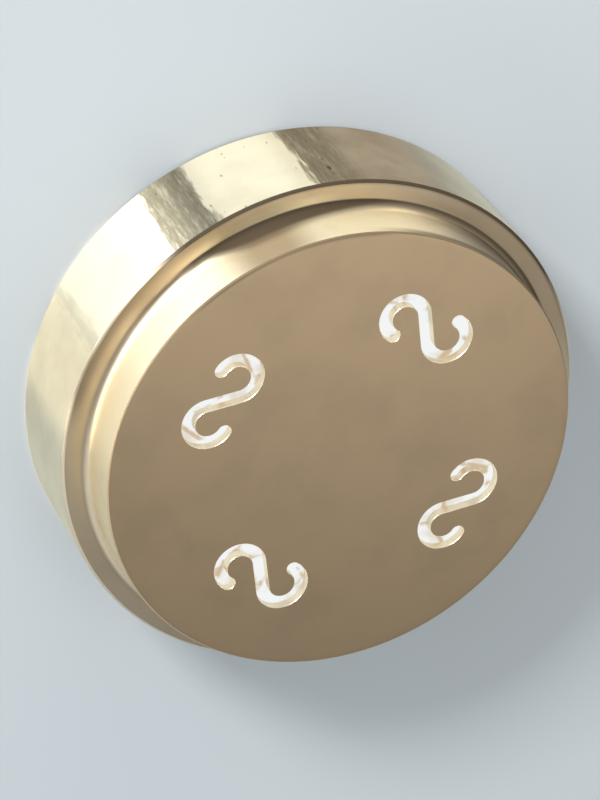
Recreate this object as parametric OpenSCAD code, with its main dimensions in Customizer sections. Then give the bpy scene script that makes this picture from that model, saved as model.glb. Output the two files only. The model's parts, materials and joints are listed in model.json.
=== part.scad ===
// Pasta extrusion die: a stepped disc turned from one piece of brass.
// S-shaped slots in the face shape the dough, and each slot is fed by a round pocket
// at the bottom of a wide recess in the back.
// The origin is at the centre of the back face, and +Z runs along the axis to the slotted face.

/* [Flange] */
// Diameter of the flange that is clamped in the extruder
flange_d = 57; // [50:0.5:70]
// Thickness of the flange, from the back face to the shoulder
flange_t = 13.1; // [10:0.1:18]
// Bevel on the front and back edges of the flange
flange_bevel = 0.25; // [0.1:0.05:0.8]

/* [Boss] */
// Width of the shoulder, from the flange's rim to the boss
shoulder_w = 2.9; // [2.4:0.1:4]
// Height of the boss above the shoulder
boss_h = 5.9; // [4:0.1:9]
// Radius of the cove where the boss meets the shoulder
cove_r = 1; // [0.4:0.1:1.5]
// Bevel on the edge of the slotted face
face_bevel = 0.15; // [0.1:0.05:0.6]

/* [Recess] */
// Wall between the recess and the outside of the boss
boss_wall = 2.6; // [1.5:0.1:4]
// Thickness of the plate between the recess and the slotted face
plate_t = 5.9; // [4:0.1:9]
// Bevel around the mouth of the recess
mouth_bevel = 0.5; // [0.2:0.1:1]

/* [Slots] */
// Number of slots around the axis
slot_count = 4; // [2:1:6]
// Width of each slot
slot_w = 1.4; // [1:0.1:1.8]
// Radius of the hooks of the S, at the middle of the slot
hook_r = 2.15; // [1.8:0.05:2.5]
// Distance between the centres of the two hooks
hook_spacing = 5.65; // [5.2:0.05:6.5]
// Angle that each hook turns through
hook_sweep = 228; // [180:1:250]
// Depth of metal that each slot is cut through
slot_land = 1; // [0.6:0.1:2]

/* [Pockets] */
// Space between the ends of a slot and the wall of its pocket
pocket_clear = 1.125; // [0.5:0.025:1.5]
// Space between the pockets and the wall of the recess
pocket_inset = 0.3; // [0.1:0.1:1]

/* [Hidden] */

brass = [0.72, 0.61, 0.44];
overcut = 0.5;

flange_r = flange_d / 2;
boss_r = flange_r - shoulder_w;
face_z = flange_t + boss_h;
recess_r = boss_r - boss_wall;
recess_z = face_z - plate_t;

hook_centre = hook_spacing / 2;
// The bar of the S is the line through its middle that touches both hooks
bar_angle = acos(hook_r / hook_centre);
bar_half = sqrt(hook_centre * hook_centre - hook_r * hook_r);
hook_start = bar_angle - 90;
// The bar and the hooks stop short of each other, and a round cut joins them.
// That cut is a hair wider than the slot, and closes the round ends in the same way.
joint_gap = 0.05;
joint_ease = 0.02;
joint_turn = 2 * asin(joint_gap / 2 / hook_r);
slot_reach = hook_centre + hook_r + slot_w / 2;
slot_z = face_z - slot_land;

pocket_r = slot_reach + pocket_clear;
pitch_r = recess_r - pocket_inset - pocket_r;

$fn = 96;

// Half section of the disc as it is turned, with X as the radius and Y along the axis
module turned_section() {
    difference() {
        polygon([
            [0, recess_z],
            [recess_r, recess_z],
            [recess_r, mouth_bevel],
            [recess_r + mouth_bevel, 0],
            [flange_r - flange_bevel, 0],
            [flange_r, flange_bevel],
            [flange_r, flange_t - flange_bevel],
            [flange_r - flange_bevel, flange_t],
            [boss_r + cove_r, flange_t],
            [boss_r + cove_r, flange_t + cove_r],
            [boss_r, flange_t + cove_r],
            [boss_r, face_z - face_bevel],
            [boss_r - face_bevel, face_z],
            [0, face_z]
        ]);
        translate([boss_r + cove_r, flange_t + cove_r])
            circle(r = cove_r);
    }
}

// Wedge between two angles, which reaches past the outside of a hook
module wedge(from, to) {
    steps = 4;
    reach = 2 * (hook_r + slot_w / 2);
    polygon([
        [0, 0],
        for (i = [0 : steps])
            let (angle = from + (to - from) * i / steps)
                reach * [cos(angle), sin(angle)]
    ]);
}

// One hook of the S, from the joint with the bar round to its own round end
module hook() {
    translate([0, hook_centre])
        rotate(hook_start) {
            intersection() {
                difference() {
                    circle(r = hook_r + slot_w / 2);
                    circle(r = hook_r - slot_w / 2);
                }
                wedge(joint_turn, hook_sweep);
            }
            for (angle = [0, hook_sweep])
                rotate(angle)
                    translate([hook_r, 0])
                        circle(d = slot_w + joint_ease);
        }
}

// The S that is cut through the land, with X pointing away from the axis of the disc
module s_slot(depth) {
    linear_extrude(depth) {
        rotate(bar_angle)
            square([2 * (bar_half - joint_gap), slot_w], center = true);
        for (turn = [0, 180])
            rotate(turn)
                hook();
    }
}

module die_body() {
    color(brass)
        difference() {
            rotate_extrude()
                turned_section();
            for (i = [0 : slot_count - 1])
                rotate(i * 360 / slot_count)
                    translate([pitch_r, 0, 0]) {
                        translate([0, 0, recess_z - overcut])
                            cylinder(r = pocket_r, h = slot_z - recess_z + overcut);
                        translate([0, 0, slot_z - overcut])
                            s_slot(slot_land + 2 * overcut);
                    }
        }
}

die_body();
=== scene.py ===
"""Pasta extrusion die: the finished mesh of the turned disc, its brass, and the stage around it."""

import json
import math

import bmesh
import bpy
from bpy.props import FloatProperty, FloatVectorProperty, IntProperty, PointerProperty
from mathutils import Matrix, Vector


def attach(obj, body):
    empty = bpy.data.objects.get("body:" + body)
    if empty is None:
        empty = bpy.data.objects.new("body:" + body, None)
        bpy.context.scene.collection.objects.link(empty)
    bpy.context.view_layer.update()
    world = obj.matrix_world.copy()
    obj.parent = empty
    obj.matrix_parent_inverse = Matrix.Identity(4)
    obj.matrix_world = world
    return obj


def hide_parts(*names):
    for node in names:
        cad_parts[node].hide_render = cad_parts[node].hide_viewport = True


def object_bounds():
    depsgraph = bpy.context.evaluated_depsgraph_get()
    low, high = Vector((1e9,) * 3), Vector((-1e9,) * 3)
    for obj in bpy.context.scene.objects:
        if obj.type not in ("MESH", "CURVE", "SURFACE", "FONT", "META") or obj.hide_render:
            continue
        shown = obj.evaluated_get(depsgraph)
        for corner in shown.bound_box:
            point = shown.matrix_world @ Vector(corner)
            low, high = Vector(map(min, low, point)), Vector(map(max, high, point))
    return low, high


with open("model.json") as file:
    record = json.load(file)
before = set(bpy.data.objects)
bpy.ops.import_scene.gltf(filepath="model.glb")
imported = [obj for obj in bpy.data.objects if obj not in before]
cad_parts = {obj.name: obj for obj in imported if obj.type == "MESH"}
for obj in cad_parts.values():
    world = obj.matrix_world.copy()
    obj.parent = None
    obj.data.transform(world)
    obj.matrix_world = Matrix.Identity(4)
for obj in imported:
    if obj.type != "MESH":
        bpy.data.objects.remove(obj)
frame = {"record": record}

bl_info = {
    "name": "Pasta Die",
    "version": (1, 0, 0),
    "blender": (4, 5, 0),
    "location": "View3D > Sidebar > Pasta Die",
    "description": "Builds a turned brass pasta die with S-shaped slots, and a plain stage for it",
    "category": "Add Mesh",
}

CAD_LOW, CAD_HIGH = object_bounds()
MM = 0.001
MICRON = 0.001 * MM
MOUNTS = {mount["name"]: mount for mount in frame["record"]["mounts"]}
OPENINGS = {opening["name"]: opening for opening in frame["record"]["physics"]["openings"]}
POCKET_LOW, POCKET_HIGH = OPENINGS["slot_pocket_1"]["box_m"]

FLANGE_RADIUS = MOUNTS["flange_rim"]["dims"]["r_mm"] * MM
BOSS_RADIUS = MOUNTS["boss_rim"]["dims"]["r_mm"] * MM
SHOULDER_HEIGHT = MOUNTS["shoulder"]["pos_m"][2]
FACE_HEIGHT = CAD_HIGH.z
SLOT_PITCH = (POCKET_LOW[0] + POCKET_HIGH[0]) / 2

# Numbers of the finishes, in the order of FINISHES
RIM, BOSS, EDGE, LIP, SHOULDER, FACE, INSIDE = range(7)

# Sockets of the Mix node that are used for colours
MIX_MASK, MIX_FIRST, MIX_SECOND = 0, 6, 7
MIX_RESULT = 2


def length(name, description, default):
    """A size in metres that the user can change."""
    return FloatProperty(
        name=name, description=description, default=default, min=0.0, unit="LENGTH", precision=5
    )


def angle(name, description, degrees):
    """An angle that the user can change."""
    return FloatProperty(
        name=name, description=description, default=math.radians(degrees), subtype="ANGLE"
    )


def share(name, description, default):
    """A share from 0 to 1 that the user can change."""
    return FloatProperty(
        name=name, description=description, default=default, min=0.0, max=1.0, subtype="FACTOR"
    )


def colour(name, description, default):
    """A colour that the user can change."""
    return FloatVectorProperty(
        name=name, description=description, default=default, size=3, min=0.0, max=1.0, subtype="COLOR"
    )


class DieSizes(bpy.types.PropertyGroup):
    """Sizes of the die"""

    flange_radius: length("Flange radius", "Radius of the wide flange", FLANGE_RADIUS)
    boss_radius: length("Boss radius", "Radius of the boss that carries the face", BOSS_RADIUS)
    shoulder_height: length("Shoulder height", "Height of the shoulder", SHOULDER_HEIGHT)
    face_height: length("Face height", "Height of the slotted face", FACE_HEIGHT)
    flange_bevel: length("Flange bevel", "Bevel on the edges of the flange", 0.25 * MM)
    face_bevel: length("Face bevel", "Bevel on the edge of the face", 0.15 * MM)
    cove_radius: length("Cove radius", "Radius of the cove at the root of the boss", 1.0 * MM)
    edge_round: length("Edge round", "Rounding where a bevel meets a face", 0.1 * MM)
    recess_radius: length("Recess radius", "Radius of the recess in the back", 23.0 * MM)
    recess_height: length("Recess height", "Height of the bottom of the recess", 13.1 * MM)
    mouth_bevel: length("Mouth bevel", "Bevel around the mouth of the recess", 0.5 * MM)
    slot_pitch: length("Slot pitch", "Distance of each slot from the axis", SLOT_PITCH)
    slot_width: length("Slot width", "Width of each slot", 1.4 * MM)
    slot_land: length("Slot land", "Depth of metal that each slot is cut through", 1.0 * MM)
    slot_edge: length("Slot edge", "Width of the broken edge of each slot", 0.06 * MM)
    hook_radius: length("Hook radius", "Radius of the hooks of the S", 2.15 * MM)
    hook_spacing: length("Hook spacing", "Distance between the centres of the hooks", 5.65 * MM)
    hook_sweep: angle("Hook sweep", "Angle that each hook turns through", 228)
    pocket_radius: length("Pocket radius", "Radius of the pocket behind each slot", 6.8 * MM)
    slot_count: IntProperty(
        name="Slots", description="Number of slots around the axis", default=4, min=1, max=6
    )


class BrassLook(bpy.types.PropertyGroup):
    """Colours, gloss, grime and painted shade of the brass"""

    rim_colour: colour("Rim", "Colour of the wall of the flange", (0.90, 0.82, 0.61))
    boss_colour: colour("Boss", "Colour of the wall of the boss", (0.90, 0.78, 0.545))
    face_colour: colour("Face", "Colour of the slotted face", (0.64, 0.472, 0.293))
    shoulder_colour: colour("Shoulder", "Colour of the shoulder", (0.70, 0.585, 0.43))
    inside_colour: colour("Inside", "Colour of the slots, recess and back face", (0.92, 0.82, 0.62))
    # Also the colour of painted shade on the shoulder and on a bevel of the flange
    dull_and_shade_colour: colour("Dulled and shaded", "Colour of the brass where it has dulled", (0.29, 0.23, 0.165))
    # Also the colour of painted shade on the boss beside the cove
    brown_and_shade_colour: colour("Browned and shaded", "Colour of the brass where it has browned", (0.40, 0.30, 0.18))
    # Colour of the streaky dark marks, and of the painted dark reflection, on the flange's wall
    dark_band_colour: colour("Dark bands", "Colour of the dark bands on the flange's wall", (0.17, 0.15, 0.10))
    # Dirt in the pits, and painted shade in the cove, on the bevels and along edges
    dirt_and_shade_colour: colour("Darkening", "Colour of what sits in pits and corners", (0.052, 0.037, 0.021))
    rim_roughness: share("Rim roughness", "Roughness of the wall of the flange", 0.34)
    boss_roughness: share("Boss roughness", "Roughness of the wall of the boss", 0.43)
    edge_roughness: share("Edge roughness", "Roughness of the bevels", 0.34)
    face_roughness: share("Face roughness", "Roughness of the face and shoulder", 0.38)
    inside_roughness: share("Inside roughness", "Roughness of the slots, recess and back face", 0.38)
    # Angles of the painted shade in the cove and up the boss
    cove_shade_angles: FloatVectorProperty(
        name="Cove shade angles",
        description="Where the grime in the cove begins, climbs, is highest, comes down and ends",
        default=[math.radians(degrees) for degrees in (115, 194, 232, 246, 253)],
        size=5,
        unit="ROTATION",
    )


class StageSettings(bpy.types.PropertyGroup):
    """Floor, backdrop and camera"""

    floor_colour: colour("Floor", "Colour of the floor", (0.70, 0.755, 0.79))
    backdrop_colour: colour("Backdrop", "Light of the backdrop near the horizon", (0.40, 0.43, 0.46))
    room_colour: colour("Room", "Light from the rest of the room", (0.225, 0.23, 0.235))
    view_azimuth: angle("View azimuth", "Direction from the die to the camera, with 0 at -Y", -24.7)
    view_elevation: angle("View elevation", "Height of the camera above the horizon", 53.24)
    view_roll: angle("View roll", "Turn of the camera about its own axis", 143.7)
    view_distance: length("View distance", "Distance from the camera to its aim", 0.3766)
    view_aim: FloatVectorProperty(
        name="View aim",
        description="Point on the face that the camera looks at",
        default=(-0.00345, -0.00817, FACE_HEIGHT),
        size=3,
        subtype="TRANSLATION",
        unit="LENGTH",
    )
    lens: FloatProperty(
        name="Lens", description="Focal length in millimetres", default=166.2, unit="CAMERA"
    )


def rounded_path(corners, step):
    """Points of a path through corners given as (radius, height, rounding), with round corners."""
    points = [Vector(corners[0][:2])]
    for before, corner, after in zip(corners, corners[1:], corners[2:]):
        here = Vector(corner[:2])
        rounding = corner[2]
        back = (Vector(before[:2]) - here).normalized()
        ahead = (Vector(after[:2]) - here).normalized()
        half = math.acos(max(-1.0, min(1.0, back.dot(ahead)))) / 2
        centre = here + (back + ahead).normalized() * rounding / math.sin(half)
        start = here + back * rounding / math.tan(half) - centre
        turn = math.pi - 2 * half
        sign = 1 if back.x * ahead.y - back.y * ahead.x < 0 else -1
        count = max(2, math.ceil(turn / step))
        for i in range(count + 1):
            points.append(centre + Matrix.Rotation(sign * turn * i / count, 2) @ start)
    points.append(Vector(corners[-1][:2]))
    return points


def filled_path(points, longest, margin):
    """The same path with long straight runs divided, and a short run beside each end of them."""
    filled = [points[0]]
    for start, end in zip(points, points[1:]):
        run = (end - start).length
        if run > longest:
            count = math.ceil((run - 2 * margin) / longest)
            stops = [margin + (run - 2 * margin) * i / count for i in range(count + 1)]
            filled += [start.lerp(end, stop / run) for stop in stops]
        filled.append(end)
    return filled


def slot_outline(sizes, half_width):
    """Outline of one S slot about its own middle, with X pointing away from the axis."""
    arc_steps = 56
    bar_steps = 10
    cap_steps = 14
    offset = sizes.hook_spacing / 2
    radius = sizes.hook_radius
    first = math.acos(radius / offset) - math.pi / 2
    line = []
    for i in range(arc_steps + 1):
        turn = first + sizes.hook_sweep * (1 - i / arc_steps)
        out = Vector((math.cos(turn), math.sin(turn)))
        line.append((Vector((0, offset)) + radius * out, out))
    joint, side = line[-1]
    for i in range(1, bar_steps):
        line.append((joint * (1 - 2 * i / bar_steps), side))
    for i in range(arc_steps + 1):
        turn = first + math.pi + sizes.hook_sweep * i / arc_steps
        out = Vector((math.cos(turn), math.sin(turn)))
        line.append((Vector((0, -offset)) + radius * out, -out))
    outline = [point + half_width * side for point, side in line]
    outline += round_end(line[-1], half_width, cap_steps)
    outline += [point - half_width * side for point, side in reversed(line)]
    outline += round_end((line[0][0], -line[0][1]), half_width, cap_steps)
    return outline


def round_end(end, half_width, steps):
    """Points round the end of the slot, between its two sides."""
    point, side = end
    return [
        point + half_width * (Matrix.Rotation(-math.pi * i / steps, 2) @ side)
        for i in range(1, steps)
    ]


class DieMesh:
    """Gathers the rings, walls and flat faces of the die in one mesh."""

    segments = 384
    pocket_segments = 96

    def __init__(self):
        self.bm = bmesh.new()

    def loop(self, points, height):
        """Corners of an outline at one height."""
        return [self.bm.verts.new((x, y, height)) for x, y in points]

    def ring(self, radius, height, count=segments, centre=(0.0, 0.0)):
        """Corners of a circle at one height."""
        turns = [2 * math.pi * i / count for i in range(count)]
        points = [(centre[0] + radius * math.cos(t), centre[1] + radius * math.sin(t)) for t in turns]
        return self.loop(points, height)

    def wall(self, lower, upper, material):
        """Faces between two loops with the same number of corners."""
        for i, corner in enumerate(lower):
            after = (i + 1) % len(lower)
            face = self.bm.faces.new((corner, lower[after], upper[after], upper[i]))
            face.material_index = material

    def flat(self, loops, material):
        """Flat face between an outer loop and the holes inside it."""
        edges = []
        for loop in loops:
            for a, b in zip(loop, loop[1:] + loop[:1]):
                edges.append(self.bm.edges.get((a, b)) or self.bm.edges.new((a, b)))
        made = bmesh.ops.triangle_fill(self.bm, use_beauty=True, edges=edges)
        faces = [item for item in made["geom"] if isinstance(item, bmesh.types.BMFace)]
        if not faces:
            raise RuntimeError("a flat face of the die could not be filled")
        for face in faces:
            face.material_index = material

    def finished(self, name, sharp_angle):
        """The mesh, smooth apart from its sharp edges."""
        bmesh.ops.recalc_face_normals(self.bm, faces=self.bm.faces)
        mesh = bpy.data.meshes.new(name)
        self.bm.to_mesh(mesh)
        self.bm.free()
        mesh.polygons.foreach_set("use_smooth", [True] * len(mesh.polygons))
        mesh.set_sharp_from_angle(angle=sharp_angle)
        return mesh


def turned_corners(sizes):
    """Corners of the outside of the die, from the mouth of the recess to the edge of the face."""
    edge = sizes.edge_round
    fine_edge = 0.6 * edge
    flange, boss = sizes.flange_radius, sizes.boss_radius
    shoulder, face = sizes.shoulder_height, sizes.face_height
    bevel, fine_bevel = sizes.flange_bevel, sizes.face_bevel
    border = 0.6 * MM
    return [
        (sizes.recess_radius + sizes.mouth_bevel, 0.0, 0.0),
        (flange - bevel, 0.0, edge),
        (flange, bevel, edge),
        (flange, shoulder - bevel, edge),
        (flange - bevel, shoulder, edge),
        (boss, shoulder, sizes.cove_radius),
        (boss, face - fine_bevel, fine_edge),
        (boss - fine_bevel, face, fine_edge),
        (boss - fine_bevel - border, face, 0.0),
    ]


def turned_finish(sizes, start, end):
    """The finish of one step of the turned outside."""
    slight_slope = 0.05
    near_back = 1.0 * MM
    step = end - start
    middle = (start + end) / 2
    at_boss = middle.x < sizes.boss_radius + sizes.cove_radius
    if abs(step.y) < slight_slope * abs(step.x):
        if middle.y < near_back:
            return INSIDE
        return FACE if middle.x < sizes.boss_radius else SHOULDER
    if abs(step.x) < slight_slope * abs(step.y):
        return BOSS if at_boss else RIM
    if at_boss and middle.y < sizes.shoulder_height + sizes.cove_radius:
        return BOSS if abs(step.y) > abs(step.x) else SHOULDER
    return LIP if at_boss else EDGE


def die_mesh(sizes):
    """Mesh of the whole die."""
    arc_step = math.radians(11)
    sharp_angle = math.radians(30)
    die = DieMesh()
    path = rounded_path(turned_corners(sizes), arc_step)
    path = filled_path(path, longest=1.5 * MM, margin=0.15 * MM)
    rings = [die.ring(point.x, point.y) for point in path]
    for i, (start, end) in enumerate(zip(path, path[1:])):
        die.wall(rings[i], rings[i + 1], turned_finish(sizes, start, end))

    mouth = die.ring(sizes.recess_radius, sizes.mouth_bevel)
    bottom = die.ring(sizes.recess_radius, sizes.recess_height)
    die.wall(rings[0], mouth, INSIDE)
    die.wall(mouth, bottom, INSIDE)

    slot_bottom = sizes.face_height - sizes.slot_land
    lip = sizes.face_height - sizes.slot_edge
    narrow = slot_outline(sizes, sizes.slot_width / 2)
    wide = slot_outline(sizes, sizes.slot_width / 2 + sizes.slot_edge)
    place = Vector((sizes.slot_pitch, 0.0))
    slot_mouths, pocket_mouths = [], []
    for i in range(sizes.slot_count):
        turn = Matrix.Rotation(2 * math.pi * i / sizes.slot_count, 2)
        narrow_here = [turn @ (place + point) for point in narrow]
        wide_here = [turn @ (place + point) for point in wide]
        slot_low = die.loop(narrow_here, slot_bottom)
        slot_high = die.loop(narrow_here, lip)
        slot_mouth = die.loop(wide_here, sizes.face_height)
        die.wall(slot_low, slot_high, INSIDE)
        die.wall(slot_high, slot_mouth, INSIDE)
        circle = {"count": DieMesh.pocket_segments, "centre": turn @ place}
        pocket_low = die.ring(sizes.pocket_radius, sizes.recess_height, **circle)
        pocket_high = die.ring(sizes.pocket_radius, slot_bottom, **circle)
        die.wall(pocket_low, pocket_high, INSIDE)
        die.flat([pocket_high, slot_low], INSIDE)
        slot_mouths.append(slot_mouth)
        pocket_mouths.append(pocket_low)
    die.flat([rings[-1]] + slot_mouths, FACE)
    die.flat([bottom] + pocket_mouths, INSIDE)
    return die.finished("turned_die", sharp_angle)


class Nodes:
    """Adds nodes to one tree."""

    def __init__(self, tree):
        self.tree = tree

    def feed(self, socket, value):
        """Links a socket to another one, or sets it to a plain value."""
        if isinstance(value, bpy.types.NodeSocket):
            self.tree.links.new(value, socket)
        else:
            socket.default_value = value

    def node(self, kind, inputs=None, **settings):
        """A new node with its settings, and its inputs linked to sockets or set to plain values."""
        made = self.tree.nodes.new(kind)
        for name, value in settings.items():
            setattr(made, name, value)
        for key, value in (inputs or {}).items():
            self.feed(made.inputs[key], value)
        return made

    def calc(self, operation, first, second=0.0):
        """The result of one sum."""
        return self.node("ShaderNodeMath", {0: first, 1: second}, operation=operation).outputs[0]

    def times(self, first, second):
        """The product of two values."""
        return self.calc("MULTIPLY", first, second)

    def plus(self, first, second):
        """The sum of two values."""
        return self.calc("ADD", first, second)

    def fade(self, value, start, end):
        """A value that goes smoothly from 0 at the start to 1 at the end, which may be the lower."""
        inputs = {"Value": value, "From Min": start, "From Max": end}
        made = self.node("ShaderNodeMapRange", inputs, interpolation_type="SMOOTHSTEP", clamp=True)
        return made.outputs["Result"]

    def mixed(self, mask, first, second):
        """The first colour where the mask is 0, and the second where it is 1."""
        inputs = {MIX_MASK: mask, MIX_FIRST: first, MIX_SECOND: second}
        return self.node("ShaderNodeMix", inputs, data_type="RGBA").outputs[MIX_RESULT]

    def ramp(self, value, low, high):
        """A colour between two stops, each given as its value and its colour."""
        made = self.node("ShaderNodeValToRGB", {"Fac": value})
        for stop, (position, tint) in zip(made.color_ramp.elements, (low, high)):
            stop.position = position
            stop.color = (*tint, 1.0)
        return made.outputs["Color"]


class Effect(Nodes):
    """A shader group that finishes can share."""

    def __init__(self, name, inputs, output):
        super().__init__(bpy.data.node_groups.new(name, "ShaderNodeTree"))
        sockets = self.tree.interface
        for label, default in inputs.items():
            socket = sockets.new_socket(name=label, in_out="INPUT", socket_type="NodeSocketFloat")
            socket.default_value = default
        sockets.new_socket(name=output, in_out="OUTPUT", socket_type="NodeSocketFloat")
        self.inputs = self.node("NodeGroupInput").outputs
        self.end = self.node("NodeGroupOutput")
        self.place = self.node("ShaderNodeTexCoord").outputs["Object"]
        self.x, self.y, self.z = self.node("ShaderNodeSeparateXYZ", {"Vector": self.place}).outputs

    def radius(self):
        """Distance from the axis."""
        return self.calc("SQRT", self.plus(self.times(self.x, self.x), self.times(self.y, self.y)))

    def azimuth(self):
        """Angle about the axis, from 0 at +X to a full turn."""
        return self.calc("FLOORED_MODULO", self.calc("ARCTAN2", self.y, self.x), 2 * math.pi)

    def stretched(self, across, along):
        """A place whose X and Y are scaled by one value, and whose Z is another."""
        parts = {"X": self.times(self.x, across), "Y": self.times(self.y, across), "Z": along}
        return self.node("ShaderNodeCombineXYZ", parts).outputs[0]

    def noise(self, place, scale, detail):
        """Soft noise from 0 to 1."""
        inputs = {"Vector": place, "Scale": scale, "Detail": detail, "Roughness": 0.6}
        return self.node("ShaderNodeTexNoise", inputs).outputs[0]

    def finish(self, result):
        """The finished group, which gives this result."""
        self.tree.links.new(result, self.end.inputs[0])
        return self.tree


def lathe_lines():
    """Fine lines around the axis: one above another on a wall, one inside another on a flat face."""
    effect = Effect("lathe_lines", {"Lines per metre": 6000.0}, "Lines")
    flat_share = 0.7
    breaks_per_metre = 60.0
    across = effect.plus(effect.z, effect.times(effect.radius(), flat_share))
    place = effect.stretched(breaks_per_metre, effect.times(across, effect.inputs["Lines per metre"]))
    return effect.finish(effect.noise(place, scale=1.0, detail=3.0))


def axial_streaks():
    """Streaks along the axis, as if the die had been pushed into a tight seat."""
    effect = Effect("axial_streaks", {"Streaks per metre": 2500.0}, "Streaks")
    along_share = 0.13
    count = effect.inputs["Streaks per metre"]
    along = effect.times(effect.z, effect.times(count, along_share))
    return effect.finish(effect.noise(effect.stretched(count, along), scale=1.0, detail=3.0))


def tarnish_clouds():
    """Soft clouds where the brass has dulled."""
    effect = Effect("tarnish_clouds", {"Scale": 120.0, "Start": 0.45, "End": 0.7}, "Dulled and shaded")
    clouds = effect.noise(effect.place, effect.inputs["Scale"], detail=5.0)
    return effect.finish(effect.fade(clouds, effect.inputs["Start"], effect.inputs["End"]))


def pits():
    """Small dark pits, longer along the axis than around it."""
    effect = Effect("pits", {"Scale": 700.0, "Size": 0.25, "Share": 0.3}, "Pitted")
    along_share = 0.45
    least_size = 0.3
    bottom_share = 0.4
    place = effect.stretched(1.0, effect.times(effect.z, along_share))
    cells = effect.node("ShaderNodeTexVoronoi", {"Vector": place, "Scale": effect.inputs["Scale"]})
    chance = effect.node("ShaderNodeSeparateColor", {"Color": cells.outputs["Color"]}).outputs
    chosen = effect.calc("LESS_THAN", chance["Red"], effect.inputs["Share"])
    size = effect.times(effect.inputs["Size"], effect.plus(chance["Green"], least_size))
    depth = effect.fade(cells.outputs["Distance"], size, effect.times(size, bottom_share))
    return effect.finish(effect.times(depth, chosen))


def side_zone():
    """One side of the die, between two angles about the axis."""
    inputs = {"Azimuth": 0.0, "Half width": 0.5, "Softness": 0.05, "Wander": 0.0}
    effect = Effect("side_zone", inputs, "Zone")
    turn = effect.calc("SUBTRACT", effect.azimuth(), effect.inputs["Azimuth"])
    away = effect.calc("ARCCOSINE", effect.calc("COSINE", turn))
    away = effect.plus(away, effect.inputs["Wander"])
    outer = effect.plus(effect.inputs["Half width"], effect.inputs["Softness"])
    return effect.finish(effect.fade(away, outer, effect.inputs["Half width"]))


def ring_zone():
    """The part of a flat face outside a radius, or inside it if the end is less than the start."""
    effect = Effect("ring_zone", {"Start": BOSS_RADIUS, "End": FLANGE_RADIUS}, "Zone")
    return effect.finish(effect.fade(effect.radius(), effect.inputs["Start"], effect.inputs["End"]))


def height_zone():
    """The part of the die above a height, with a soft lower edge."""
    effect = Effect("height_zone", {"Start": SHOULDER_HEIGHT, "End": FACE_HEIGHT}, "Zone")
    return effect.finish(effect.fade(effect.z, effect.inputs["Start"], effect.inputs["End"]))


def cove_shade(sizes, look):
    """Painted shade in the cove at the root of the boss, which climbs the boss on one side."""
    inputs = {"Low": -0.1 * MM, "Climb": 1.15 * MM, "Softness": 1.0 * MM}
    effect = Effect("cove_shade", inputs, "Darkening")
    begin, start, top, down, end = look.cove_shade_angles
    fade_in_angle = 0.6
    top_spread = 1.5
    shoulder_clearance = 0.025 * MM
    azimuth = effect.azimuth()
    rise = effect.times(effect.fade(azimuth, start, top), effect.fade(azimuth, down, top))
    solid = effect.plus(effect.inputs["Low"], effect.times(rise, effect.inputs["Climb"]))
    softer = effect.plus(1.0, effect.times(rise, top_spread))
    reach = effect.plus(solid, effect.times(effect.inputs["Softness"], softer))
    up = effect.calc("SUBTRACT", effect.z, sizes.shoulder_height)
    darkening = effect.times(effect.fade(up, reach, solid), effect.fade(up, 0.0, shoulder_clearance))
    fade_in = effect.fade(azimuth, begin, begin + fade_in_angle)
    side = effect.times(fade_in, effect.fade(azimuth, end, down))
    return effect.finish(effect.times(darkening, side))


def new_material(name):
    """A new material with its tree and its shader."""
    material = bpy.data.materials.new(name)
    material.use_nodes = True
    tree = material.node_tree
    return material, tree, tree.nodes["Principled BSDF"]


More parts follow.
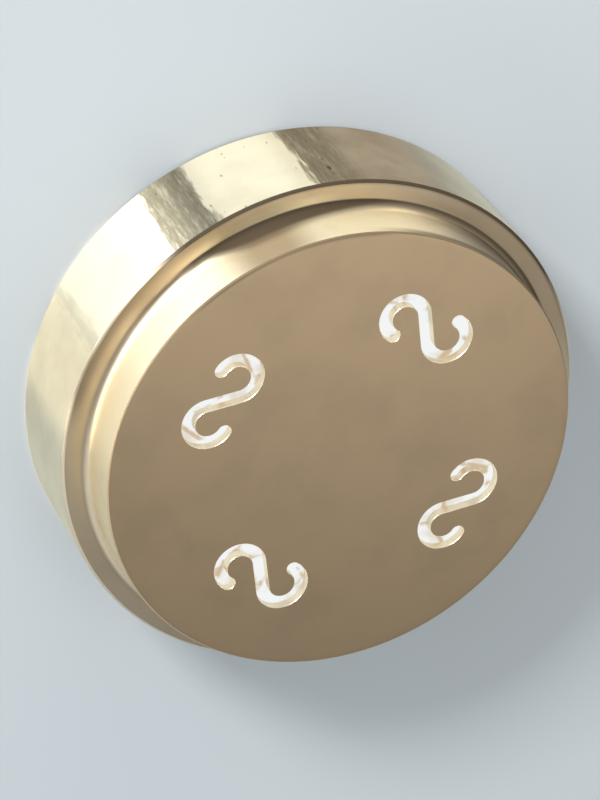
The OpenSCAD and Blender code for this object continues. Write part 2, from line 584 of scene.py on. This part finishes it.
class Finish(Nodes):
    """One finish of the brass, built up from shared effects."""

    specular = 0.15
    quarter_turn = 0.25
    # Roughness added by the dark coat, which is dirt in the pits and painted shade elsewhere
    darkening_roughness = 0.3
    dimmed_share = 0.75
    dimmed_colour = (0.1, 0.09, 0.08, 1.0)

    def __init__(self, name, colour, roughness, effects):
        self.material, tree, self.shader = new_material(name)
        super().__init__(tree)
        self.effects = effects
        self.colour = (*colour, 1.0)
        self.roughness = roughness
        self.metallic = 1.0
        self.height = 0.0
        self.dimmed = None
        self.shader.inputs["Specular IOR Level"].default_value = self.specular

    def effect(self, name, **inputs):
        """The result of a shared effect, with its own values."""
        values = {label.replace("_", " ").capitalize(): value for label, value in inputs.items()}
        return self.node("ShaderNodeGroup", values, node_tree=self.effects[name]).outputs[0]

    def zone(self, azimuth, half_width, softness, wander=0.0):
        """One side of the die, with its angles in degrees."""
        return self.effect(
            "side_zone",
            azimuth=math.radians(azimuth),
            half_width=math.radians(half_width),
            softness=math.radians(softness),
            wander=wander,
        )

    def recolour(self, mask, colour, strength, rougher):
        """Turns the colour towards another, and dulls the gloss, where the mask is 1; used for stains
        and for painted light and shade.
        """
        cover = self.times(mask, strength)
        self.colour = self.mixed(cover, self.colour, (*colour, 1.0))
        self.roughness = self.plus(self.roughness, self.times(cover, rougher))

    def darkening(self, mask, colour, strength=1.0):
        """Covers the metal with a dull dark coat where the mask is 1: dirt in the pits, and painted
        shade elsewhere.
        """
        self.recolour(mask, colour, strength, self.darkening_roughness)
        covered = self.fade(self.times(mask, strength), start=0.5, end=1.0)
        self.metallic = self.calc("SUBTRACT", self.metallic, covered)

    def relief(self, mask, height):
        """Raises the surface, or sinks it, where the mask is 1."""
        self.height = self.plus(self.height, self.times(mask, height))

    def lathe_relief(self, height, lines_per_metre=6000.0):
        """Adds the lines that the lathe leaves."""
        self.relief(self.effect("lathe_lines", lines_per_metre=lines_per_metre), height)

    def turned(self, anisotropic):
        """Spreads reflections across the lines that the lathe leaves.

        The floor sees such a wall darker than the camera does, so that no bright patch shows there.
        """
        self.shader.inputs["Anisotropic"].default_value = anisotropic
        self.shader.inputs["Anisotropic Rotation"].default_value = self.quarter_turn
        tangent = self.node("ShaderNodeTangent", direction_type="RADIAL", axis="Z")
        self.feed(self.shader.inputs["Tangent"], tangent.outputs[0])
        from_floor = self.node("ShaderNodeLightPath").outputs["Is Diffuse Ray"]
        self.dimmed = self.times(from_floor, self.dimmed_share)

    def done(self):
        """Joins what was built up to the shader."""
        if self.dimmed is not None:
            self.colour = self.mixed(self.dimmed, self.colour, self.dimmed_colour)
        bump = self.node("ShaderNodeBump", {"Height": self.height, "Distance": 1.0})
        results = {
            "Base Color": self.colour,
            "Roughness": self.roughness,
            "Metallic": self.metallic,
            "Normal": bump.outputs[0],
        }
        for label, value in results.items():
            self.feed(self.shader.inputs[label], value)
        return self.material


def rim_brass(look, effects):
    """The turned wall of the flange: bright, with darker bands, streaks and pits on one side, one band
    being a painted dark reflection.
    """
    finish = Finish("rim_brass", look.rim_colour, look.rim_roughness, effects)
    finish.turned(anisotropic=1.0)
    finish.lathe_relief(0.5 * MICRON)
    clouds = finish.effect("tarnish_clouds", scale=90.0, start=0.4, end=0.75)
    finish.recolour(clouds, look.dull_and_shade_colour, strength=0.25, rougher=0.03)

    streaks = finish.effect("axial_streaks", streaks_per_metre=1500.0)
    fine_streaks = finish.effect("axial_streaks", streaks_per_metre=4500.0)
    coarse_share, fine_share = 0.55, 0.45
    ragged = finish.plus(finish.times(streaks, coarse_share), finish.times(fine_streaks, fine_share))
    middle, wander_angle = 0.5, 0.1
    wander = finish.times(finish.calc("SUBTRACT", streaks, middle), wander_angle)

    # Darker and duller on one side, between about 160 and 215 degrees
    dark_side = finish.zone(azimuth=187, half_width=27.8, softness=1.5, wander=wander)
    darker_zone = finish.times(finish.zone(azimuth=203, half_width=8, softness=22), dark_side)
    darker_zone = finish.times(darker_zone, finish.fade(clouds, start=-2.0, end=0.6))
    finish.recolour(darker_zone, look.dull_and_shade_colour, strength=1.0, rougher=0.03)
    scored = finish.times(finish.zone(azimuth=212, half_width=4, softness=5, wander=wander), dark_side)
    scored = finish.times(scored, finish.fade(ragged, start=0.26, end=0.6))
    finish.recolour(scored, look.dark_band_colour, strength=0.9, rougher=0.05)
    # Painted dark reflection: a streaky dark band down the wall of the flange
    dark_reflection_band = finish.zone(azimuth=243, half_width=4.5, softness=1.5, wander=wander)
    dark_reflection_band = finish.times(dark_reflection_band, finish.fade(ragged, start=-0.1, end=0.6))
    finish.recolour(dark_reflection_band, look.dark_band_colour, strength=0.97, rougher=0.05)
    faint_band = finish.zone(azimuth=274, half_width=0.4, softness=2.2, wander=wander)
    finish.recolour(faint_band, look.dark_band_colour, strength=0.2, rougher=0.05)

    speck_depth = 0.5
    specks = finish.times(finish.effect("pits", scale=1800.0, size=0.25, share=0.13), speck_depth)
    specks = finish.times(specks, finish.zone(azimuth=226, half_width=16, softness=10))
    holes = finish.effect("pits", scale=1300.0, size=0.29, share=0.3)
    holes = finish.times(holes, finish.zone(azimuth=211, half_width=5, softness=2))
    pitted = finish.calc("MAXIMUM", specks, holes)
    finish.darkening(pitted, look.dirt_and_shade_colour)
    finish.relief(pitted, -20 * MICRON)
    return finish.done()


def boss_brass(look, effects):
    """The wall of the boss and the top of the cove, with painted shade at its root and below the face.
    """
    finish = Finish("boss_brass", look.boss_colour, look.boss_roughness, effects)
    finish.turned(anisotropic=0.8)
    finish.lathe_relief(0.5 * MICRON)
    clouds = finish.effect("tarnish_clouds", scale=160.0, start=0.45, end=0.75)
    finish.recolour(clouds, look.dull_and_shade_colour, strength=0.2, rougher=0.03)
    # Darker and duller on one side, around 155 degrees
    darker_zone = finish.zone(azimuth=155, half_width=14, softness=32)
    finish.recolour(darker_zone, look.dull_and_shade_colour, strength=0.95, rougher=0.03)
    # Painted shade: a brown patch on the boss where the shade in the cove is highest
    brown_patch = finish.zone(azimuth=231, half_width=3, softness=11)
    finish.recolour(brown_patch, look.brown_and_shade_colour, strength=0.95, rougher=0.03)
    # Painted shade on the top of the boss, just below the face, on one side
    top = finish.effect("height_zone", start=FACE_HEIGHT - 1.4 * MM, end=FACE_HEIGHT - 0.4 * MM)
    shade_below_face = finish.times(top, finish.zone(azimuth=180, half_width=12, softness=20))
    finish.recolour(shade_below_face, look.dirt_and_shade_colour, strength=0.7, rougher=0.1)
    # Painted shade in the cove, which climbs the boss on one side
    finish.darkening(finish.effect("cove_shade"), look.dirt_and_shade_colour)
    return finish.done()


def edge_brass(look, effects):
    """The bevels of the flange, with a painted dark reflection on one side."""
    finish = Finish("edge_brass", look.shoulder_colour, look.edge_roughness, effects)
    finish.lathe_relief(0.5 * MICRON)
    # Painted dark reflection along the bevels on one side
    finish.darkening(finish.zone(azimuth=200, half_width=45, softness=18), look.dirt_and_shade_colour)
    # Painted shade: a dull patch that tones down a bright reflection on the bevel
    painted_shade_patch = finish.zone(azimuth=281, half_width=3, softness=6)
    finish.recolour(painted_shade_patch, look.dull_and_shade_colour, strength=0.8, rougher=0.05)
    return finish.done()


def lip_brass(look, effects):
    """The bevel around the face, with a painted dark reflection on one side."""
    finish = Finish("lip_brass", look.face_colour, look.edge_roughness, effects)
    finish.lathe_relief(0.5 * MICRON)
    # Painted dark reflection along the bevel on one side
    dark_side = finish.zone(azimuth=207, half_width=42, softness=45)
    finish.darkening(dark_side, look.dirt_and_shade_colour, strength=0.8)
    return finish.done()


def shoulder_brass(look, effects):
    """The shoulder and the bottom of the cove: darker on one side, with painted light and shade in
    patches, and painted shade in the cove.
    """
    finish = Finish("shoulder_brass", look.shoulder_colour, look.face_roughness, effects)
    finish.lathe_relief(1.0 * MICRON, lines_per_metre=3000.0)
    clouds = finish.effect("tarnish_clouds", scale=110.0, start=0.4, end=0.7)
    finish.recolour(clouds, look.dull_and_shade_colour, strength=0.18, rougher=0.03)
    # Slightly darker on one side
    darker_zone = finish.zone(azimuth=228, half_width=50, softness=40)
    finish.recolour(darker_zone, look.dull_and_shade_colour, strength=0.2, rougher=0.03)
    brown_patch = finish.zone(azimuth=160, half_width=16, softness=20)
    finish.recolour(brown_patch, look.brown_and_shade_colour, strength=0.6, rougher=0.03)

    # Painted light: pale patches where the shoulder mirrors the painted shade on the boss
    painted_light_patch = finish.zone(azimuth=232, half_width=6, softness=10)
    finish.recolour(painted_light_patch, look.rim_colour, strength=0.4, rougher=0.03)
    inner = finish.effect("ring_zone", start=FLANGE_RADIUS - 0.8 * MM, end=BOSS_RADIUS + 1.2 * MM)
    painted_light_inside = finish.times(inner, finish.zone(azimuth=231, half_width=10, softness=14))
    finish.recolour(painted_light_inside, look.rim_colour, strength=1.0, rougher=0.03)

    # Painted shade: a dull patch that tones down a bright reflection on the shoulder
    painted_shade_patch = finish.zone(azimuth=250, half_width=9, softness=10)
    finish.recolour(painted_shade_patch, look.dull_and_shade_colour, strength=0.7, rougher=0.03)
    # Painted shade along the outer edge of the shoulder on one side
    border = finish.effect("ring_zone", start=FLANGE_RADIUS - 0.6 * MM, end=FLANGE_RADIUS - 0.2 * MM)
    shaded_border = finish.times(border, finish.zone(azimuth=200, half_width=45, softness=35))
    finish.recolour(shaded_border, look.dirt_and_shade_colour, strength=0.5, rougher=0.1)
    # Darker outer ring on one side
    outer = finish.effect("ring_zone", start=BOSS_RADIUS + 1.1 * MM, end=FLANGE_RADIUS - 0.5 * MM)
    darker_outside = finish.times(outer, finish.zone(azimuth=265, half_width=19, softness=12))
    finish.recolour(darker_outside, look.dull_and_shade_colour, strength=0.9, rougher=0.1)
    # Painted shade in the bottom of the cove on one side
    finish.darkening(finish.effect("cove_shade"), look.dirt_and_shade_colour)
    return finish.done()


def face_brass(look, effects):
    """The slotted face: satin, with faint lines and clouds, and painted shade beside its edge on one
    side.
    """
    finish = Finish("face_brass", look.face_colour, look.face_roughness, effects)
    finish.lathe_relief(1.0 * MICRON, lines_per_metre=3000.0)
    clouds = finish.effect("tarnish_clouds", scale=110.0, start=0.4, end=0.7)
    finish.recolour(clouds, look.dull_and_shade_colour, strength=0.16, rougher=0.03)
    # Painted shade beside the edge of the face on one side
    border = finish.effect("ring_zone", start=BOSS_RADIUS - 0.6 * MM, end=BOSS_RADIUS - 0.2 * MM)
    shaded_border = finish.times(border, finish.zone(azimuth=228, half_width=20, softness=8))
    finish.recolour(shaded_border, look.dirt_and_shade_colour, strength=0.42, rougher=0.05)
    return finish.done()


def inside_brass(look, effects):
    """The slots, pockets, recess and back face: cut and left bright."""
    finish = Finish("inside_brass", look.inside_colour, look.inside_roughness, effects)
    finish.lathe_relief(0.6 * MICRON)
    clouds = finish.effect("tarnish_clouds", scale=250.0, start=0.45, end=0.7)
    finish.recolour(clouds, look.dull_and_shade_colour, strength=0.3, rougher=0.05)
    return finish.done()


FINISHES = (
    rim_brass,
    boss_brass,
    edge_brass,
    lip_brass,
    shoulder_brass,
    face_brass,
    inside_brass,
)


class PASTADIE_OT_add_die(bpy.types.Operator):
    """Adds the turned brass die with its slots"""

    bl_idname = "mesh.pasta_die_add"
    bl_label = "Add Pasta Die"
    bl_options = {"REGISTER", "UNDO"}

    def execute(self, context):
        sizes = context.scene.pasta_die_sizes
        look = context.scene.pasta_die_look
        mesh = die_mesh(sizes)
        die = bpy.data.objects.new("turned_die", mesh)
        context.scene.collection.objects.link(die)
        effects = {
            "lathe_lines": lathe_lines(),
            "axial_streaks": axial_streaks(),
            "tarnish_clouds": tarnish_clouds(),
            "pits": pits(),
            "side_zone": side_zone(),
            "ring_zone": ring_zone(),
            "height_zone": height_zone(),
            "cove_shade": cove_shade(sizes, look),
        }
        for finish in FINISHES:
            mesh.materials.append(finish(look, effects))
        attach(die, "root")
        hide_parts("die_body")
        return {"FINISHED"}


def around(azimuth, elevation):
    """Direction from the die to a place at that azimuth and elevation, with azimuth 0 at -Y."""
    flat = math.cos(elevation)
    return Vector((math.sin(azimuth) * flat, -math.cos(azimuth) * flat, math.sin(elevation)))


# Name, azimuth and elevation in degrees, distance, width and height, brightness and tint of each lamp.
# The strips and the cream fill stand low, and make the bright bands on the turned walls.
LAMPS = (
    ("white_strip", -6.7, 5, 1.0, (0.98, 0.16), 23.0, (0.90, 0.95, 1.0)),
    ("cream_strip", -53.5, 5, 1.0, (0.53, 0.16), 16.5, (1.0, 1.0, 1.0)),
    ("gold_strip", -91, 5, 1.0, (0.76, 0.16), 12.5, (1.0, 0.92, 0.77)),
    ("cream_fill", 36, 5, 1.0, (0.60, 0.16), 11.8, (1.0, 0.93, 0.79)),
    ("side_fill", 84, 26, 1.0, (1.0, 0.9), 0.65, (0.90, 0.98, 1.0)),
    ("back_fill", -134, 18, 1.0, (0.8, 0.5), 0.5, (0.86, 0.96, 1.0)),
    ("overhead", 200, 75, 0.20, (0.16, 0.16), 0.80, (1.0, 1.0, 1.0)),
    ("high_key", -20, 28, 1.0, (0.2, 0.2), 50.0, (1.0, 1.0, 1.0)),
)


def add_lamp(name, azimuth, elevation, distance, size, brightness, tint):
    """A soft rectangular lamp that points at the die, where a brightness of 1 looks white."""
    data = bpy.data.lights.new(name, "AREA")
    data.shape = "RECTANGLE"
    data.size, data.size_y = size
    data.energy = brightness * math.pi * data.size * data.size_y
    data.color = tint
    lamp = bpy.data.objects.new(name, data)
    back = around(math.radians(azimuth), math.radians(elevation))
    lamp.location = back * distance + Vector((0.0, 0.0, FACE_HEIGHT / 2))
    lamp.rotation_euler = back.to_track_quat("Z", "Y").to_euler()
    bpy.context.scene.collection.objects.link(lamp)


def stage_piece(name, bm, material):
    """A piece of the stage, from a bmesh that is freed."""
    mesh = bpy.data.meshes.new(name)
    bm.to_mesh(mesh)
    bm.free()
    mesh.materials.append(material)
    piece = bpy.data.objects.new(name, mesh)
    bpy.context.scene.collection.objects.link(piece)
    return piece


def add_floor(stage):
    """A plain pale floor."""
    half_width = 3.0
    bm = bmesh.new()
    bmesh.ops.create_grid(bm, x_segments=8, y_segments=8, size=half_width)
    material, _, shader = new_material("pale_floor")
    shader.inputs["Base Color"].default_value = (*stage.floor_colour, 1.0)
    shader.inputs["Roughness"].default_value = 1.0
    shader.inputs["Specular IOR Level"].default_value = 0.0
    floor = stage_piece("floor", bm, material)


def lit_card():
    """The material of the cards: pale and lit from within, with thin brown veins."""
    shaded_colour = (0.74, 0.70, 0.62)
    pale_colour = (0.86, 0.88, 0.88)
    vein_colour = (0.60, 0.46, 0.30, 1.0)
    unlit_colour = (0.02, 0.02, 0.02, 1.0)
    material, tree, shader = new_material("lit_card")
    nodes = Nodes(tree)
    place = nodes.node("ShaderNodeTexCoord").outputs["Object"]
    noise = {"Vector": place, "Scale": 350.0, "Detail": 3.0}
    shade = nodes.node("ShaderNodeTexNoise", noise).outputs[0]
    cells = {"Vector": place, "Scale": 230.0}
    cracks = nodes.node("ShaderNodeTexVoronoi", cells, feature="DISTANCE_TO_EDGE").outputs["Distance"]
    paper = nodes.ramp(shade, (0.36, shaded_colour), (0.50, pale_colour))
    thin_lines = nodes.fade(cracks, start=0.07, end=0.02)
    veins = nodes.times(thin_lines, nodes.fade(shade, start=0.54, end=0.42))
    shader.inputs["Base Color"].default_value = unlit_colour
    shader.inputs["Emission Strength"].default_value = 1.0
    nodes.feed(shader.inputs["Emission Color"], nodes.mixed(veins, paper, vein_colour))
    return material


def add_cards(sizes):
    """Lit pale cards in the pockets, so that the slots show white."""
    gap_above = 0.5 * MM
    gap_around = 0.3 * MM
    radius = sizes.pocket_radius - gap_around
    height = sizes.face_height - sizes.slot_land - gap_above
    first = Vector((sizes.slot_pitch, 0.0, height))
    bm = bmesh.new()
    for i in range(sizes.slot_count):
        turn = Matrix.Rotation(2 * math.pi * i / sizes.slot_count, 3, "Z")
        matrix = Matrix.Translation(turn @ first)
        bmesh.ops.create_circle(bm, cap_ends=True, segments=64, radius=radius, matrix=matrix)
    cards = stage_piece("cards", bm, lit_card())


def add_world(stage):
    """Even light from all around, and a pale backdrop low down."""
    world = bpy.data.worlds.new("studio")
    world.use_nodes = True
    nodes = Nodes(world.node_tree)
    place = nodes.node("ShaderNodeTexCoord").outputs["Generated"]
    height = nodes.node("ShaderNodeSeparateXYZ", {"Vector": place}).outputs["Z"]
    backdrop_top, room_bottom = 0.05, 0.22
    light = nodes.ramp(height, (backdrop_top, stage.backdrop_colour), (room_bottom, stage.room_colour))
    nodes.feed(world.node_tree.nodes["Background"].inputs["Color"], light)
    bpy.context.scene.world = world


def add_camera(stage):
    """The camera, at the angle of the photograph."""
    data = bpy.data.cameras.new("camera")
    data.lens = stage.lens
    data.clip_start = 0.01
    camera = bpy.data.objects.new("camera", data)
    back = around(stage.view_azimuth, stage.view_elevation)
    turn = back.to_track_quat("Z", "Y") @ Matrix.Rotation(stage.view_roll, 3, "Z").to_quaternion()
    camera.rotation_euler = turn.to_euler()
    camera.location = Vector(stage.view_aim) + back * stage.view_distance
    bpy.context.scene.collection.objects.link(camera)
    bpy.context.scene.camera = camera


class PASTADIE_OT_add_stage(bpy.types.Operator):
    """Adds the backdrop, the floor, the cards, the lamps and the camera"""

    bl_idname = "scene.pasta_die_stage_add"
    bl_label = "Add Stage"
    bl_options = {"REGISTER", "UNDO"}

    def execute(self, context):
        stage = context.scene.pasta_die_stage
        sizes = context.scene.pasta_die_sizes
        context.scene.view_settings.view_transform = "Standard"
        add_world(stage)
        add_floor(stage)
        add_cards(sizes)
        for lamp in LAMPS:
            add_lamp(*lamp)
        add_camera(stage)
        return {"FINISHED"}


class PASTADIE_PT_panel(bpy.types.Panel):
    """Panel of the pasta die in the sidebar"""

    bl_idname = "PASTADIE_PT_panel"
    bl_label = "Pasta Die"
    bl_space_type = "VIEW_3D"
    bl_region_type = "UI"
    bl_category = "Pasta Die"

    def draw(self, context):
        layout = self.layout
        for group in (
            context.scene.pasta_die_sizes,
            context.scene.pasta_die_look,
            context.scene.pasta_die_stage,
        ):
            box = layout.box()
            for name in group.__annotations__:
                box.prop(group, name)
        layout.operator(PASTADIE_OT_add_die.bl_idname)
        layout.operator(PASTADIE_OT_add_stage.bl_idname)


CLASSES = (
    DieSizes,
    BrassLook,
    StageSettings,
    PASTADIE_OT_add_die,
    PASTADIE_OT_add_stage,
    PASTADIE_PT_panel,
)


def register():
    for item in CLASSES:
        bpy.utils.register_class(item)
    bpy.types.Scene.pasta_die_sizes = PointerProperty(type=DieSizes)
    bpy.types.Scene.pasta_die_look = PointerProperty(type=BrassLook)
    bpy.types.Scene.pasta_die_stage = PointerProperty(type=StageSettings)


def unregister():
    del bpy.types.Scene.pasta_die_stage
    del bpy.types.Scene.pasta_die_look
    del bpy.types.Scene.pasta_die_sizes
    for item in reversed(CLASSES):
        bpy.utils.unregister_class(item)


def main():
    register()
    bpy.ops.mesh.pasta_die_add()
    bpy.ops.scene.pasta_die_stage_add()


if __name__ == "__main__":
    main()
